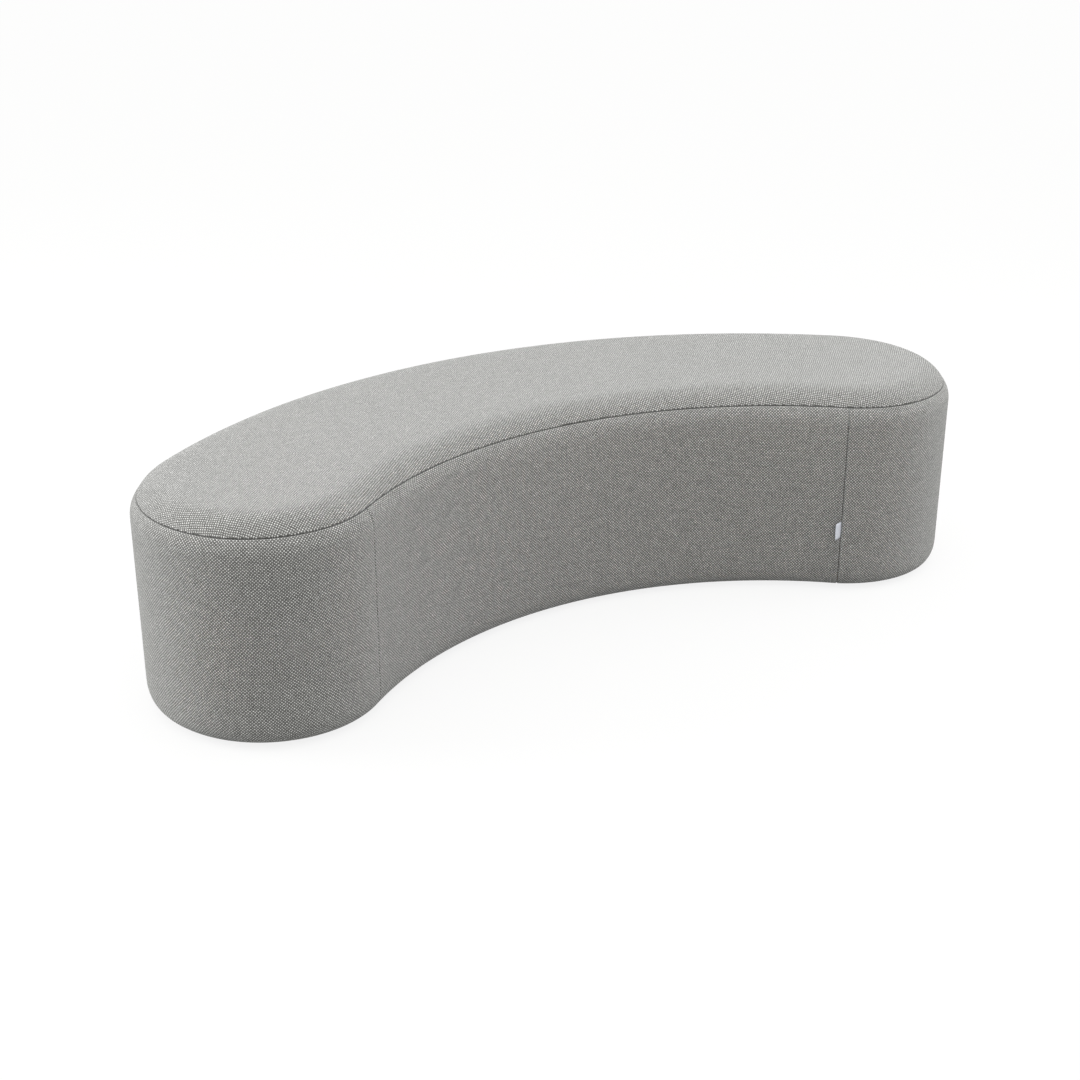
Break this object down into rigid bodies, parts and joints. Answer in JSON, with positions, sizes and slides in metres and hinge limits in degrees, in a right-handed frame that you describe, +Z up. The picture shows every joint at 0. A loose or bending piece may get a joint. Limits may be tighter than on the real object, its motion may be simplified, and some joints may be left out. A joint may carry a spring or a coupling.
{
  "type": "ottoman",
  "caption": "Long crescent-shaped upholstered bench ottoman with a crowned seat, rolled edges and a hollow front, standing on low glides.",
  "frame": {"origin": "on the floor, below the middle of the overall box", "axes": "+X along the length, +Y from the hollow front to the bulging back, +Z up"},
  "size_m": [1.8, 0.7277, 0.44],
  "materials": {
    "cover_fabric": "grey mixed-yarn basket weave",
    "label_ribbon": "pale woven ribbon, left bare",
    "dust_cloth": "black non-woven",
    "foam": "open-cell cushion foam",
    "wadding": "white polyester fibre",
    "bending_board": "thin bent board",
    "pine": "sawn softwood",
    "plywood": "birch-faced plywood",
    "glide_nylon": "black moulded nylon",
    "screw_steel": "zinc-plated steel"
  },
  "bodies": {
    "root": {"back_foam": "foam", "back_skin": "bending_board", "base_board": "plywood", "base_board_screws": "screw_steel", "cover_front": "cover_fabric", "cover_top": "cover_fabric", "cover_wrap": "cover_fabric", "dust_cover": "dust_cloth", "front_foam": "foam", "front_skin": "bending_board", "glide_center_back": "glide_nylon", "glide_center_front": "glide_nylon", "glide_left_back": "glide_nylon", "glide_left_front": "glide_nylon", "glide_right_back": "glide_nylon", "glide_right_front": "glide_nylon", "glide_screws": "screw_steel", "left_end_foam": "foam", "left_end_glue_blocks": "pine", "left_end_skin": "bending_board", "left_end_spine": "plywood", "rib_center": "plywood", "rib_left_1": "plywood", "rib_left_2": "plywood", "rib_left_3": "plywood", "rib_right_1": "plywood", "rib_right_2": "plywood", "rib_right_3": "plywood", "right_end_foam": "foam", "right_end_glue_blocks": "pine", "right_end_skin": "bending_board", "right_end_spine": "plywood", "seam_label": "label_ribbon", "seat_board": "plywood", "seat_board_screws": "screw_steel", "seat_foam": "foam", "seat_wadding": "wadding"}
  },
  "joints": []
}
